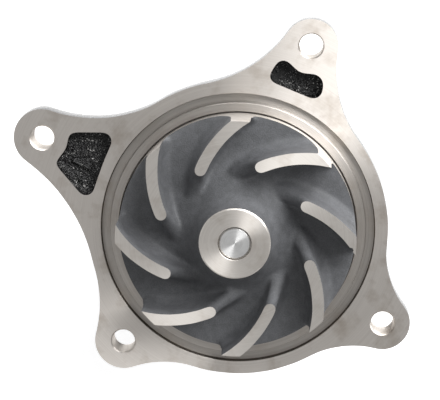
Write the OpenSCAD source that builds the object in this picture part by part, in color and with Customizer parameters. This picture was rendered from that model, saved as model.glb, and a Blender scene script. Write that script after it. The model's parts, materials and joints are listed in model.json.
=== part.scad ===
// Engine coolant pump: a flange-mounted pump cartridge with a cast impeller.
// The shaft's axis is Z. The impeller is up, the pulley hub is down.
// The origin is where the shaft's axis crosses the machined mounting face.

/* [Impeller] */
// Outside diameter of the impeller
impeller_d = 100; // [80:0.5:125]
// Height of the plate's front face above the mounting face, at its rim
plate_rise = 4.9; // [4:0.1:8]
// Thickness of the plate at its rim
plate_t = 6.4; // [5.4:0.1:8]
// Height of the vanes above the plate's rim
vane_h = 16; // [12:0.1:20]
// Number of vanes
vane_count = 8; // [5:1:10]
// Thickness of a vane
vane_t = 4.7; // [3.5:0.1:6]
// Distance from the shaft's axis to the middle of a vane's rounded inner end
vane_start_r = 32.6; // [28:0.1:38]
// Angle that a vane sweeps back between its inner end and the rim
vane_sweep = 28.7; // [20:0.1:40]
// Radius of a vane's curved centre line
vane_bend_r = 47; // [40:0.5:80]
// Angle of the first vane's inner end
vane_angle = 26.3; // [0:0.1:45]
// How far a vane's foot reaches in past its top, along the leading edge
vane_foot = 12; // [3:0.1:14]
// Diameter of the hub's machined front face
hub_d = 29.4; // [26:0.1:40]
// Height of the hub's front face above the mounting face
hub_rise = 27.4; // [24:0.1:36]
// Radius where the hub's flank runs out into the plate
flank_r = 36; // [30:0.5:40]
// Diameter of the impeller's bore and of the shaft's end inside it
seat_d = 13; // [10:0.1:15]
// Chamfer at the mouth of the impeller's bore
bore_chamfer = 0.9; // [0.3:0.1:1.5]

/* [Mounting flange] */
// Thickness of the flange plate
flange_t = 9; // [7.5:0.1:12]
// Depth of the recess that the impeller's plate dips into
recess_depth = 5; // [4:0.1:6]
// Radial gap between the impeller and the recess
recess_gap = 0.7; // [0.4:0.1:2]
// Width of the land between the recess and the sealing groove
land_w = 3.6; // [2:0.1:6]
// Width of the sealing groove
groove_w = 4; // [3:0.1:6]
// Depth of the sealing groove
groove_depth = 2.5; // [1.5:0.1:3.5]
// Width of the rim outside the groove, where no ear widens it
rim_w = 5.8; // [4:0.1:10]
// Diameter of the bolt holes
bolt_hole_d = 10; // [8:0.1:12]
// Chamfer at the bolt holes' mouths
bolt_chamfer = 0.5; // [0.2:0.1:1]
// How far the bosses under the bolt heads stand out behind the flange
ear_boss = 3; // [1:0.1:6]

/* [Flange ears] */
// Angles of the four bolt holes round the shaft
ear_angles = [154.9, 68.7, -33, -134.6]; // [-180:0.1:180]
// How far each bolt hole lies outside the round rim
ear_reaches = [27.2, 20, 10.1, 6]; // [4:0.1:40]
// Radius of each ear round its bolt hole
ear_radii = [12.6, 11.6, 12, 12.6]; // [9:0.1:16]
// Radius that blends each ear into the rim on its anticlockwise side
blend_after = [72, 54, 38, 40]; // [20:1:90]
// Radius that blends each ear into the rim on its clockwise side
blend_before = [55, 50, 38.5, 56]; // [20:0.5:90]
// Depth of the two cast pockets beside the upper ears
pocket_depth = 5.5; // [3:0.1:6]

/* [Housing behind the flange] */
// Thickness of the web behind the impeller's recess
web_t = 8; // [6:0.1:12]
// Wall thickness of the bearing snout
snout_wall = 8; // [5:0.1:12]
// Thickness of the stiffening ribs
rib_t = 6; // [4:0.1:10]
// Diameter of the weep hole
weep_d = 6; // [3:0.1:7]
// Length of the weep chamber along the shaft
weep_len = 8; // [7:0.1:12]

/* [Shaft and bearing] */
// Diameter of the bearing's shaft
shaft_d = 15.9; // [13.2:0.05:19.5]
// Outside diameter of the bearing's outer ring
bearing_d = 38.1; // [31.5:0.05:46]
// Length of the bearing's outer ring
bearing_len = 40; // [38:0.5:60]
// Thickness of the outer ring at the roller track
ring_wall = 4.05; // [3:0.05:5]
// Least gap between neighbouring balls
ball_spacing = 2.2; // [1.6:0.1:4]
// Least gap between neighbouring rollers
roller_spacing = 1; // [0.8:0.1:3]
// Length of a roller
roller_len = 14; // [10:0.5:16]
// Depth of the ball groove below the shaft's surface
ball_groove = 0.5; // [0.3:0.05:0.8]
// Radial clearance between rolling parts and their tracks
track_gap = 0.025; // [0.01:0.005:0.05]
// Thickness of the cages' walls
cage_t = 1.9; // [1.2:0.1:2.4]
// Thickness of the wire circlip
clip_t = 1.5; // [1:0.1:2]

/* [Face seal] */
// Depth of the seal's bore below the recess floor
seal_depth = 12; // [11.5:0.1:16]
// Thickness of the seal's sheet-metal cup
cup_t = 1; // [0.6:0.1:1.2]
// Radial gap between the shaft and the carbon ring
carbon_room = 2.45; // [2:0.05:4]
// Radial width of the carbon ring
carbon_w = 3; // [2.5:0.1:3.4]
// Thickness of the ceramic mating ring
mating_t = 4.48; // [3.5:0.01:6]
// Thickness of the rubber boot round the mating ring
boot_t = 1.3; // [1:0.1:2]
// Height of the sealing faces above the mounting face
face_rise = 0.5; // [0:0.1:1]
// Diameter of the seal spring's wire
spring_wire = 1.4; // [1:0.1:1.6]
// Number of turns of the seal spring
spring_turns = 3.5; // [2.5:0.5:4]
// Radial gap between the seal spring and the cup
spring_room = 1.6; // [0.6:0.1:3]

/* [Pulley hub] */
// Thickness of the pulley hub's flange
pulley_flange_t = 9; // [7:0.1:14]
// Length of the pulley hub along the shaft
pulley_hub_len = 18; // [16:0.1:30]
// Wall thickness of the pulley hub's boss
pulley_boss_wall = 8.5; // [5:0.1:12]
// Pitch circle of the pulley's bolts
pulley_pcd = 60; // [50:0.5:90]
// Width of the pulley hub's flange outside the pitch circle
pulley_edge = 10; // [7:0.1:16]
// Number of pulley bolts
pulley_bolts = 4; // [3:1:6]
// Diameter of the tapped holes' minor thread
pulley_tap_d = 6.8; // [5:0.1:8.6]
// Diameter of the register that centres the pulley
register_d = 25; // [20:0.1:36]
// Depth of the register
register_depth = 4; // [2:0.1:6]
// Gap between the pulley hub and the housing's snout
hub_gap = 3; // [1.5:0.1:6]

/* [Hidden] */
$fn = 96;
// Overlap that joins solids which touch, and lets a cut run past a face
lap = 1;
// Running clearance between a seal lip and the shaft
lip_gap = 0.05;
// Film between the sealing faces
film = 0.02;
// Thickness of the band round the carbon ring
band_t = 0.8;

impeller_r = impeller_d / 2;
recess_r = impeller_r + recess_gap;
groove_in_r = recess_r + land_w;
groove_out_r = groove_in_r + groove_w;
rim_r = groove_out_r + rim_w;
plate_back = plate_rise - plate_t;
vane_top = plate_rise + vane_h;
hub_r = hub_d / 2;
seat_r = seat_d / 2;
shaft_r = shaft_d / 2;
ring_r = bearing_d / 2;
track_r = ring_r - ring_wall;
pitch_r = (shaft_r + track_r) / 2;
roller_r = (track_r - shaft_r) / 2 - track_gap;
ball_r = (track_r - shaft_r) / 2 + ball_groove - track_gap;
snout_r = ring_r + snout_wall;
carbon_r = shaft_r + carbon_room;
coil_r = carbon_r + carbon_w + band_t + 0.05 + spring_wire / 2;
seal_r = coil_r + spring_wire / 2 + spring_room + cup_t;
ball_count = floor(2 * PI * pitch_r / (2 * ball_r + ball_spacing));
roller_count = floor(2 * PI * pitch_r / (2 * roller_r + roller_spacing));
ear_t = flange_t + ear_boss;
boot_r = carbon_r + carbon_w + 1.8 + boot_t;

// Levels along the shaft, from the impeller down to the pulley hub
recess_z = -recess_depth;
web_z = recess_z - web_t;
seal_z = recess_z - seal_depth;
bearing_top = seal_z - weep_len;
bearing_bottom = bearing_top - bearing_len;
clip_z = bearing_bottom - clip_t;
snout_end = clip_z - 2.5;
hub_top = snout_end - hub_gap;
seat_z = hub_top - pulley_hub_len;
shaft_end = seat_z + register_depth;
boot_z = face_rise + film + mating_t + boot_t;
weep_z = (seal_z + bearing_top) / 2;
ball_z = bearing_top - 10;
roller_z = bearing_bottom + 13;
chamber_r = min(seal_r, ring_r) - 2.75;

// A point at a distance and an angle from the shaft's axis
function polar(r, a) = [r * cos(a), r * sin(a)];

// Points on an arc round c, from angle a to angle b
function arc(c, r, a, b, n) = [for (i = [0 : n]) c + polar(r, a + (b - a) * i / n)];

// The angle of a vector
function heading(v) = atan2(v[1], v[0]);

// An angle brought into the range from low to low + 360
function wrapped(a, low) = a < low ? wrapped(a + 360, low) : a >= low + 360 ? wrapped(a - 360, low) : a;

// Centre of the blend circle of radius f that touches the rim and ear i from outside.
// side is 1 for the anticlockwise side of the ear and -1 for the clockwise side.
function blend_centre(i, f, side) =
    let (
        reach = rim_r + ear_reaches[i],
        from_axis = rim_r + f,
        from_ear = ear_radii[i] + f,
        along = (from_axis * from_axis - from_ear * from_ear + reach * reach) / (2 * reach),
        off = sqrt(from_axis * from_axis - along * along),
        dir = polar(1, ear_angles[i])
    )
    along * dir + side * off * [-dir[1], dir[0]];

function ear_centre(i) = polar(rim_r + ear_reaches[i], ear_angles[i]);

// The outline of one ear with its two blends, anticlockwise
function ear_outline(i) =
    let (
        e = ear_centre(i),
        before = blend_centre(i, blend_before[i], -1),
        after = blend_centre(i, blend_after[i], 1),
        b0 = heading(-before),
        b1 = wrapped(heading(e - before), b0 - 180),
        e0 = heading(before - e),
        e1 = wrapped(heading(after - e), e0),
        a0 = heading(e - after),
        a1 = wrapped(heading(-after), a0 - 180)
    )
    concat(
        arc(before, blend_before[i], b0, b1, 10),
        [for (k = [1 : 23]) e + polar(ear_radii[i], e0 + (e1 - e0) * k / 24)],
        arc(after, blend_after[i], a0, a1, 10)
    );

// The rim between ear i and ear j, the next one anticlockwise
function rim_outline(i, j) =
    let (
        a = heading(blend_centre(i, blend_after[i], 1)),
        b = wrapped(heading(blend_centre(j, blend_before[j], -1)), a - 90),
        n = max(2, ceil(abs(b - a) / 5))
    )
    [for (k = [1 : n - 1]) polar(rim_r, a + (b - a) * k / n)];

// Ears in anticlockwise order
ear_order = [3, 2, 1, 0];
flange_outline = [
    for (k = [0 : 3])
        each concat(ear_outline(ear_order[k]), rim_outline(ear_order[k], ear_order[(k + 1) % 4]))
];

// A corner of a polygon rounded with radius r
function rounded_corner(p, before, after, r) =
    let (
        u = (before - p) / norm(before - p),
        v = (after - p) / norm(after - p),
        half = acos(u * v) / 2,
        centre = p + (u + v) / norm(u + v) * r / sin(half),
        start = heading(p + u * r / tan(half) - centre),
        end = wrapped(heading(p + v * r / tan(half) - centre), start - 180)
    )
    arc(centre, r, start, end, 8);

// A polygon with every corner rounded, each row being [outward, anticlockwise, radius]
function rounded(rows) =
    let (n = len(rows), p = [for (row = rows) [row[0], row[1]]])
    [for (i = [0 : n - 1]) each rounded_corner(p[i], p[(i + n - 1) % n], p[(i + 1) % n], rows[i][2])];

// The pockets' corners, outward from the rim's radius along the ear and across it
left_pocket = [
    [17.9, -7, 3.2], [16, -0.5, 9], [17.9, 7.8, 2.6], [-2.4, 17.3, 3.6], [-0.6, 0, 60], [-0.2, -15.5, 3.6]
];
right_pocket = [
    [-0.4, -12.4, 3.6], [10.8, -9.8, 4.5], [7.7, 0.1, 7], [11.8, 10, 3.6], [0, 12.1, 3]
];

module housing() {
    color("#b3aca4")
    difference() {
        union() {
            translate([0, 0, -flange_t])
                linear_extrude(flange_t)
                polygon(flange_outline);
            housing_back();
            for (i = [0 : 3])
                ear_back(i);
        }
        housing_bores();
        for (i = [0 : 3])
            translate(ear_centre(i))
            bolt_hole();
        pocket(0, left_pocket);
        pocket(1, right_pocket);
    }
}

// The web, the seal housing and the snout that holds the bearing
module housing_back() {
    web_r = groove_out_r - 2;
    collar_r = max(snout_r, seal_r + 6) + 5;
    rotate_extrude()
        polygon([
            [0, -lap], [web_r, -lap], [web_r, web_z + 2], [web_r - 3, web_z],
            [collar_r, web_z], [collar_r - 2, web_z - 5], [snout_r, weep_z - 9],
            [snout_r, snout_end + 1.5], [snout_r - 1.5, snout_end], [0, snout_end]
        ]);
    translate([0, 0, weep_z])
        rotate([90, 0, 0])
        cylinder(h = collar_r + 4, d = weep_d + 8);
}

// The boss behind a bolt hole and the rib that ties it to the snout
module ear_back(i) {
    boss_r = ear_radii[i] - 2.6;
    reach = rim_r + ear_reaches[i];
    rib_end = reach - (boss_r + bolt_hole_d / 2) / 2;
    translate(ear_centre(i))
        translate([0, 0, -ear_t])
        cylinder(h = ear_t - lap, r = boss_r);
    rotate([0, 0, ear_angles[i]])
        translate([0, rib_t / 2, 0])
        rotate([90, 0, 0])
        linear_extrude(rib_t)
        polygon([
            [snout_r - 3, -flange_t + lap], [snout_r - 3, snout_end + 9], [snout_r + 3, snout_end + 9],
            [reach - boss_r, 1 - ear_t], [rib_end, 1 - ear_t], [rib_end, -flange_t + lap]
        ]);
}

// Everything turned or bored about the shaft's axis, and the weep hole
module housing_bores() {
    groove();
    translate([0, 0, recess_z])
        cylinder(h = recess_depth + lap, r = recess_r);
    translate([0, 0, seal_z])
        cylinder(h = seal_depth + lap, r = seal_r);
    translate([0, 0, bearing_top - lap])
        cylinder(h = weep_len + 2 * lap, r = chamber_r);
    translate([0, 0, snout_end - lap])
        cylinder(h = bearing_top - snout_end + lap, r = ring_r);
    translate([0, 0, clip_z - 0.1])
        cylinder(h = clip_t + 0.1, r = ring_r + 1.4);
    translate([0, 0, weep_z])
        rotate([90, 0, 0])
        cylinder(h = 2 * snout_r + 30, d = weep_d);
}

module groove() {
    translate([0, 0, -groove_depth])
    difference() {
        cylinder(h = groove_depth + lap, r = groove_out_r);
        translate([0, 0, -lap])
            cylinder(h = groove_depth + 3 * lap, r = groove_in_r);
    }
}

module bolt_hole() {
    translate([0, 0, -ear_t - lap])
        cylinder(h = ear_t + 2 * lap, d = bolt_hole_d);
    translate([0, 0, -bolt_chamfer])
        cylinder(h = 2 * bolt_chamfer, d1 = bolt_hole_d, d2 = bolt_hole_d + 4 * bolt_chamfer);
}

// A pocket cast into the mounting face beside ear i
module pocket(i, corners) {
    rotate([0, 0, ear_angles[i]])
        translate([rim_r, 0, -pocket_depth])
        linear_extrude(pocket_depth + lap)
        polygon(rounded(corners));
}

// Centre of the circle that a vane's centre line follows
function vane_centre() =
    let (
        p = polar(vane_start_r, vane_angle),
        q = polar(impeller_r, vane_angle - vane_sweep),
        mid = (p + q) / 2,
        chord = norm(q - p),
        dir = (q - p) / chord
    )
    mid + sqrt(vane_bend_r * vane_bend_r - chord * chord / 4) * [dir[1], -dir[0]];

module vane() {
    c = vane_centre();
    start = heading(polar(vane_start_r, vane_angle) - c);
    end = heading(polar(impeller_r, vane_angle - vane_sweep) - c);
    foot = start + vane_foot / vane_bend_r * 180 / PI;
    past = end - 4;
    inner = c + polar(vane_bend_r, foot);
    bottom = plate_rise - 2;
    translate([0, 0, bottom]) {
        linear_extrude(vane_top - bottom)
            polygon(concat(
                arc(c, vane_bend_r + vane_t / 2, past, foot, 14),
                arc(c, vane_bend_r - vane_t / 2, foot, past, 14)
            ));
        translate(inner)
            cylinder(h = vane_top - bottom, d = vane_t);
    }
}

// The space that the vanes fill: flat on top, turned at the rim, sloped at the leading edges
module vane_envelope() {
    edge_r = vane_start_r - vane_t / 2;
    foot_in = 0.7 * vane_foot;
    rotate_extrude()
        polygon([
            [hub_r, plate_rise - 2], [impeller_r, plate_rise - 2], [impeller_r, vane_top],
            [edge_r, vane_top], [edge_r - foot_in, plate_rise + 4], [hub_r, plate_rise + 4]
        ]);
}

// Height of the hub's flank, which is a quarter of an ellipse, at step t of 90
function flank_point(t) =
    [flank_r - (flank_r - hub_r) * cos(t), hub_rise - 0.5 - (hub_rise - 0.5 - plate_rise) * sin(t)];

module impeller() {
    color("#3a3b3c")
    union() {
        rotate_extrude()
            polygon(concat(
                [[seat_r, boot_z], [seat_r, hub_rise - bore_chamfer], [seat_r + bore_chamfer, hub_rise],
                 [hub_r - 0.5, hub_rise]],
                [for (t = [0 : 9 : 90]) flank_point(t)],
                [[impeller_r, plate_rise], [impeller_r, plate_back], [boot_r, plate_back], [boot_r, boot_z]]
            ));
        intersection() {
            for (k = [0 : vane_count - 1])
                rotate([0, 0, 360 / vane_count * k])
                vane();
            vane_envelope();
        }
    }
}

module shaft() {
    color("#c9c9c6")
    difference() {
        rotate_extrude()
            polygon([
                [0, shaft_end], [shaft_r - 1, shaft_end], [shaft_r, shaft_end + 1], [shaft_r, boot_z],
                [seat_r, boot_z], [seat_r, hub_rise - 1.1], [seat_r - 0.5, hub_rise - 0.6], [0, hub_rise - 0.6]
            ]);
        ball_track(-1);
    }
}

// The ring groove that the balls run in: side is -1 on the shaft and 1 in the outer ring
module ball_track(side) {
    track_ball_r = ball_r * 1.05;
    rotate_extrude()
        translate([pitch_r - side * (track_ball_r - ball_r - track_gap), ball_z])
        circle(r = track_ball_r);
}

module bearing_outer_ring() {
    seal_seat = 2.6;
    color("#b9bbbd")
    difference() {
        translate([0, 0, bearing_bottom])
            cylinder(h = bearing_len, r = ring_r);
        translate([0, 0, bearing_bottom - lap])
            cylinder(h = bearing_len + 2 * lap, r = track_r);
        ball_track(1);
        for (z = [bearing_top - seal_seat, bearing_bottom - lap])
            translate([0, 0, z])
            cylinder(h = seal_seat + lap, r = track_r + 0.9);
    }
}

module bearing_balls() {
    color("#d5d7d9")
    for (k = [0 : ball_count - 1])
        rotate([0, 0, 360 / ball_count * k])
        translate([pitch_r, 0, ball_z])
        sphere(r = ball_r);
}

module ball_cage() {
    half = ball_r + 1.1;
    color("#7d6a3a")
    difference() {
        cage_ring(ball_z, half);
        for (k = [0 : ball_count - 1])
            rotate([0, 0, 360 / ball_count * k])
            translate([pitch_r - 2 * cage_t, 0, ball_z])
            rotate([0, 90, 0])
            cylinder(h = 4 * cage_t, r = ball_r + 0.12);
    }
}

module cage_ring(z, half) {
    translate([0, 0, z - half])
    difference() {
        cylinder(h = 2 * half, r = pitch_r + cage_t / 2);
        translate([0, 0, -lap])
            cylinder(h = 2 * half + 2 * lap, r = pitch_r - cage_t / 2);
    }
}

module bearing_rollers() {
    color("#d5d7d9")
    for (k = [0 : roller_count - 1])
        rotate([0, 0, 360 / roller_count * k])
        translate([pitch_r, 0, roller_z - roller_len / 2])
        cylinder(h = roller_len, r = roller_r);
}

module roller_cage() {
    side_gap = 0.15;
    color("#7d6a3a")
    difference() {
        cage_ring(roller_z, roller_len / 2 + 2.2);
        for (k = [0 : roller_count - 1])
            rotate([0, 0, 360 / roller_count * k])
            translate([pitch_r, 0, roller_z])
            cube([4 * cage_t, 2 * (roller_r + side_gap), roller_len + 2 * side_gap], center = true);
    }
}

// A bearing seal lies in the outer ring's seat, its lip just clear of the shaft
module bearing_seal(z, up) {
    color("#26272a")
    translate([0, 0, z])
    mirror([0, 0, up ? 0 : 1])
    rotate_extrude()
        polygon([
            [shaft_r + lip_gap, -2.2], [shaft_r + 0.9, -2.4], [track_r + 0.9, -2.4], [track_r + 0.9, -0.8],
            [shaft_r + 1.6, -0.8], [shaft_r + lip_gap, -1.6]
        ]);
}

module bearing_seal_inner() {
    bearing_seal(bearing_top, true);
}

module bearing_seal_outer() {
    bearing_seal(bearing_bottom, false);
}

module bearing_circlip() {
    color("#4d4f52")
    translate([0, 0, clip_z])
    difference() {
        cylinder(h = clip_t, r = ring_r + 1.2);
        translate([0, 0, -lap])
            cylinder(h = clip_t + 2 * lap, r = ring_r - 1.6);
        translate([0, 0, -lap])
            linear_extrude(clip_t + 2 * lap)
            polygon([[0, 0], polar(2 * ring_r, 80), polar(2 * ring_r, 100)]);
    }
}

module slinger() {
    color("#1f2022")
    translate([0, 0, weep_z])
    rotate_extrude()
        polygon([
            [shaft_r, -2.2], [shaft_r + 1.6, -2.2], [shaft_r + 1.6, -0.4], [shaft_r + 4.5, 0.8],
            [shaft_r + 4.5, 1.6], [shaft_r + 1, 0.4], [shaft_r, 0.4]
        ]);
}

cup_floor = seal_z + 0.5;
ferrule_r = carbon_r - 0.4;

module seal_cup() {
    color("#b89450")
    rotate_extrude()
        polygon([
            [seal_r, cup_floor], [seal_r, recess_z], [seal_r + 2.7, recess_z], [seal_r + 2.7, recess_z + cup_t],
            [seal_r - cup_t, recess_z + cup_t], [seal_r - cup_t, cup_floor + cup_t],
            [ferrule_r, cup_floor + cup_t], [ferrule_r, cup_floor]
        ]);
}

// The sleeve that clamps the bellows' tail into the cup
module seal_ferrule() {
    inner_r = ferrule_r - 0.6;
    color("#b89450")
    rotate_extrude()
        polygon([
            [inner_r, cup_floor - 0.45], [ferrule_r + 2, cup_floor - 0.45], [ferrule_r + 2, cup_floor],
            [ferrule_r, cup_floor], [ferrule_r, cup_floor + 6], [inner_r, cup_floor + 6]
        ]);
}

band_z = recess_z - 1.2;
carbon_z = recess_z + 0.4;

module seal_bellows() {
    tail_z = cup_floor + cup_t;
    mid_z = (tail_z + carbon_z) / 2;
    color("#232426")
    rotate_extrude()
        polygon([
            [ferrule_r, tail_z], [ferrule_r, mid_z - 0.5], [ferrule_r + 1.6, mid_z + 0.7],
            [carbon_r, mid_z + 1.9], [carbon_r, carbon_z], [carbon_r + carbon_w, carbon_z],
            [carbon_r + carbon_w, band_z], [carbon_r + 1.4, band_z], [carbon_r + 1.4, mid_z + 2],
            [ferrule_r + 3.2, mid_z + 0.7], [ferrule_r + 1.2, mid_z - 1], [ferrule_r + 1.2, tail_z + 1.2],
            [ferrule_r + 3.4, tail_z + 1.2], [ferrule_r + 3.4, tail_z]
        ]);
}

// The band that holds the carbon ring on the bellows and takes the spring
module seal_band() {
    outer_r = carbon_r + carbon_w + band_t;
    color("#c2a05c")
    rotate_extrude()
        polygon([
            [carbon_r + 1.5, band_z - 1.1], [outer_r + 1.6, band_z - 1.1], [outer_r + 1.6, band_z - 0.3],
            [outer_r, band_z - 0.3], [outer_r, carbon_z + 3.4], [carbon_r + carbon_w, carbon_z + 3.4],
            [carbon_r + carbon_w, band_z], [carbon_r + 1.5, band_z]
        ]);
}

module seal_spring() {
    sides = 8;
    steps = ceil(spring_turns * 24);
    low = cup_floor + cup_t + spring_wire / 2 + 0.05;
    high = band_z - 1.1 - spring_wire / 2 - 0.05;
    ring = [
        for (i = [0 : steps])
            let (a = 360 * spring_turns * i / steps, z = low + (high - low) * i / steps)
            for (j = [0 : sides - 1])
                let (b = 360 * j / sides, r = coil_r + spring_wire / 2 * cos(b))
                [r * cos(a), r * sin(a), z + spring_wire / 2 * sin(b)]
    ];
    skin = [
        for (i = [0 : steps - 1])
            for (j = [0 : sides - 1])
                let (p = i * sides + j, q = i * sides + (j + 1) % sides)
                each [[p, q, q + sides], [p, q + sides, p + sides]]
    ];
    first = [for (j = [1 : sides - 2]) [0, j + 1, j]];
    last = [for (j = [1 : sides - 2]) [steps * sides, steps * sides + j, steps * sides + j + 1]];
    color("#9fa2a4")
        polyhedron(ring, concat(skin, first, last));
}

module carbon_ring() {
    color("#2b2b2d")
    rotate_extrude()
        polygon([
            [carbon_r, carbon_z], [carbon_r + carbon_w, carbon_z], [carbon_r + carbon_w, face_rise - 1.4],
            [carbon_r + carbon_w - 0.8, face_rise - 1.4], [carbon_r + carbon_w - 0.8, face_rise],
            [carbon_r, face_rise]
        ]);
}

module mating_ring() {
    color("#e9e4d8")
    rotate_extrude()
        polygon([
            [carbon_r - 1.2, face_rise + film], [boot_r - boot_t, face_rise + film],
            [boot_r - boot_t, boot_z - boot_t], [carbon_r - 1.2, boot_z - boot_t]
        ]);
}

module mating_boot() {
    color("#2a2b2e")
    rotate_extrude()
        polygon([
            [carbon_r - 1.2, boot_z - boot_t], [boot_r - boot_t, boot_z - boot_t],
            [boot_r - boot_t, face_rise + 0.5], [boot_r, face_rise + 0.5], [boot_r, boot_z],
            [carbon_r - 1.2, boot_z]
        ]);
}

module pulley_hub() {
    boss_r = shaft_r + pulley_boss_wall;
    flange_r = pulley_pcd / 2 + pulley_edge;
    shoulder = seat_z + pulley_flange_t;
    color("#8d8f91")
    difference() {
        rotate_extrude()
            polygon([
                [shaft_r, shaft_end], [register_d / 2, shaft_end], [register_d / 2, seat_z], [flange_r - 1, seat_z],
                [flange_r, seat_z + 1], [flange_r, shoulder - 1], [flange_r - 1, shoulder],
                [boss_r + 2, shoulder], [boss_r, shoulder + 2], [boss_r, hub_top - 1], [boss_r - 1, hub_top],
                [shaft_r, hub_top]
            ]);
        for (k = [0 : pulley_bolts - 1])
            rotate([0, 0, 360 / pulley_bolts * (k + 0.5)])
            translate([pulley_pcd / 2, 0, seat_z - lap])
            cylinder(h = pulley_flange_t + 2 * lap, d = pulley_tap_d);
    }
}

housing();
bearing_outer_ring();
bearing_seal_inner();
bearing_seal_outer();
bearing_circlip();
seal_cup();
seal_ferrule();
seal_bellows();
seal_band();
seal_spring();
carbon_ring();
bearing_balls();
ball_cage();
bearing_rollers();
roller_cage();
shaft();
slinger();
mating_ring();
mating_boot();
impeller();
pulley_hub();
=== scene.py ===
"""Engine water pump: a faced iron casting with a vaned impeller, its bearing, seal and pulley hub."""

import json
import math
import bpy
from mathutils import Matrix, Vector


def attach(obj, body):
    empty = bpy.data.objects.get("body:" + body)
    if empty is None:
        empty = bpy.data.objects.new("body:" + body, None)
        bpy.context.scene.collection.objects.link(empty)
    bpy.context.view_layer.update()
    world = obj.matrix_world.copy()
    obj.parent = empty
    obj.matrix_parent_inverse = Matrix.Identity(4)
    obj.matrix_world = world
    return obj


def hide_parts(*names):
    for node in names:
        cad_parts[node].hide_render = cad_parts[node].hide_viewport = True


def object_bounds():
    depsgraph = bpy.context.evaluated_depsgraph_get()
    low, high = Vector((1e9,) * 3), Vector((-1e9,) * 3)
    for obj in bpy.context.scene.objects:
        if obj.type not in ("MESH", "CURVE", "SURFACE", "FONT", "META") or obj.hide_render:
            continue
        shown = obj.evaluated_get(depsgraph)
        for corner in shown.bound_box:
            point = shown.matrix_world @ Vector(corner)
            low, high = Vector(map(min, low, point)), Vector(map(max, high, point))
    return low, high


bl_info = {
    "name": "Engine Water Pump",
    "version": (1, 0, 0),
    "blender": (4, 5, 0),
    "location": "View3D > Sidebar > Water Pump",
    "description": "Builds the castings, turned parts and studio of an engine's water pump",
    "category": "Object",
}

import bmesh
import bpy
from bpy.props import FloatProperty, FloatVectorProperty, IntProperty, PointerProperty
from mathutils import Matrix, Vector, noise

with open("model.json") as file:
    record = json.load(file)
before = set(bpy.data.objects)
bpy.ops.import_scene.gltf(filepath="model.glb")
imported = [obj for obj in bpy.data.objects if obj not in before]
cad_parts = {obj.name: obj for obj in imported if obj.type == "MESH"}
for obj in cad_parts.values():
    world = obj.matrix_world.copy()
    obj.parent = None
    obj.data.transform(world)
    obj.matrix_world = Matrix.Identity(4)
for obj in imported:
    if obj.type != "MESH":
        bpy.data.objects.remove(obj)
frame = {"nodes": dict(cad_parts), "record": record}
cad_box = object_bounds()

MM = 0.001
CREASE = math.radians(28)
MOUNTS = {mount["name"]: mount for mount in frame["record"]["mounts"]}


def linear(text):
    """An sRGB hex value as linear red, green and blue."""
    values = [int(text[i : i + 2], 16) / 255 for i in (0, 2, 4)]
    return [v / 12.92 if v <= 0.04045 else ((v + 0.055) / 1.055) ** 2.4 for v in values]


# ---------------------------------------------------------------- settings


def length_setting(name, description, millimetres):
    return FloatProperty(name=name, description=description, default=millimetres * MM, unit="LENGTH")


def angle_setting(name, description, degrees):
    return FloatProperty(name=name, description=description, default=math.radians(degrees), subtype="ANGLE")


def count_setting(name, description, count):
    return IntProperty(name=name, description=description, default=count, min=1)


def colour_setting(name, description, text):
    return FloatVectorProperty(
        name=name, description=description, default=linear(text), subtype="COLOR", size=3, min=0, max=1
    )


class CastingSettings(bpy.types.PropertyGroup):
    """Sizes of the housing's casting that its machining doesn't fix."""

    grid: length_setting("Casting grid", "Spacing of the casting's surface points", 0.8)
    softening: count_setting("Softening", "Passes that round the casting's corners and fill its fillets", 16)
    waviness: length_setting("Waviness", "Height of the slow waves in the cast skin", 0.12)
    pocket_roughness: length_setting("Pocket roughness", "Height of the lumps on a pocket's floor", 0.4)
    grain: length_setting("Sand grain", "Width of the grains burnt on to a pocket", 1.1)


class ImpellerSettings(bpy.types.PropertyGroup):
    """Sizes that the impeller's shape follows."""

    vane_count: count_setting("Vanes", "Number of vanes", 8)
    vane_thickness: length_setting("Vane thickness", "Thickness of a vane at its top", 4.7)
    vane_start: length_setting("Inner end", "Axis to the middle of a vane's inner end", 32.6)
    vane_bend: length_setting("Vane bend", "Radius of a vane's curved centre line", 47)
    vane_sweep: angle_setting("Vane sweep", "Angle between a vane's inner end and the rim", 28.7)
    vane_angle: angle_setting("First vane", "Angle of the first vane's inner end", 26.3)
    vane_foot: length_setting("Vane foot", "How far a vane's foot runs in past its top", 12)
    flank_radius: length_setting("Flank radius", "Axis to where the hub's flank meets the plate", 36)
    grid: length_setting("Casting grid", "Spacing of the casting's surface points", 0.62)
    softening: count_setting("Softening", "Passes that round the casting's corners and fill its fillets", 22)


class FinishSettings(bpy.types.PropertyGroup):
    """Colours of the pump's finishes."""

    iron_bright: colour_setting("Iron, bright", "Faced iron where the tool cut clean", "dcd7d1")
    iron_dull: colour_setting("Iron, dull", "Faced iron between the tool's arcs", "c8c2bc")
    iron_stain: colour_setting("Iron, stained", "The brown tarnish on faced iron", "9c8f80")
    paint: colour_setting("Casting paint", "The gloss coat on the rough casting", "0c0c0d")
    impeller: colour_setting("Impeller coat", "The dark coat on the impeller", "4c4d4f")
    impeller_worn: colour_setting("Impeller coat, thin", "The coat where it lies thin", "5e5f62")
    steel: colour_setting("Ground steel", "The shaft and the bearing", "efefee")
    steel_dull: colour_setting("Turned steel", "The pulley hub", "a9a7a4")
    brass: colour_setting("Brass", "The seal's pressed parts", "c9a45c")
    rubber: colour_setting("Rubber", "Bellows, boot and lips", "1c1c1d")
    floor: colour_setting("Floor", "The studio's floor", "f6f6f6")


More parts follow.
